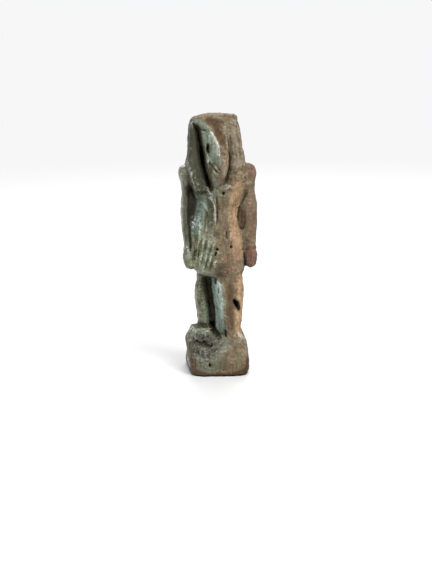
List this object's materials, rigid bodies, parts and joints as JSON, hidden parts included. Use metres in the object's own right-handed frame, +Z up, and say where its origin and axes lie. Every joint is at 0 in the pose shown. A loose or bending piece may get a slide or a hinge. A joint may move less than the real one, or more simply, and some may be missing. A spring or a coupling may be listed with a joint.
{
  "type": "ibis amulet",
  "caption": "Moulded faience amulet of a striding ibis-headed figure in wig and pleated kilt, with a back pillar, a cord hole behind the neck and a low integral base.",
  "frame": {"origin": "on the base's flat underside, under the middle of the figure", "axes": "+Z up, the figure faces -Y, +X is the figure's left, the side of the leg it puts forward"},
  "size_m": [0.012, 0.0113, 0.0392],
  "materials": {
    "faience": "worn blue-green glaze, glossy where it survives in the hollows and on the figure's right, rubbed to a matt tan body on its left, with dark dirt in the recesses and red-brown stains at the foot of the base"
  },
  "bodies": {
    "root": {"ibis_amulet": "faience"}
  },
  "joints": []
}
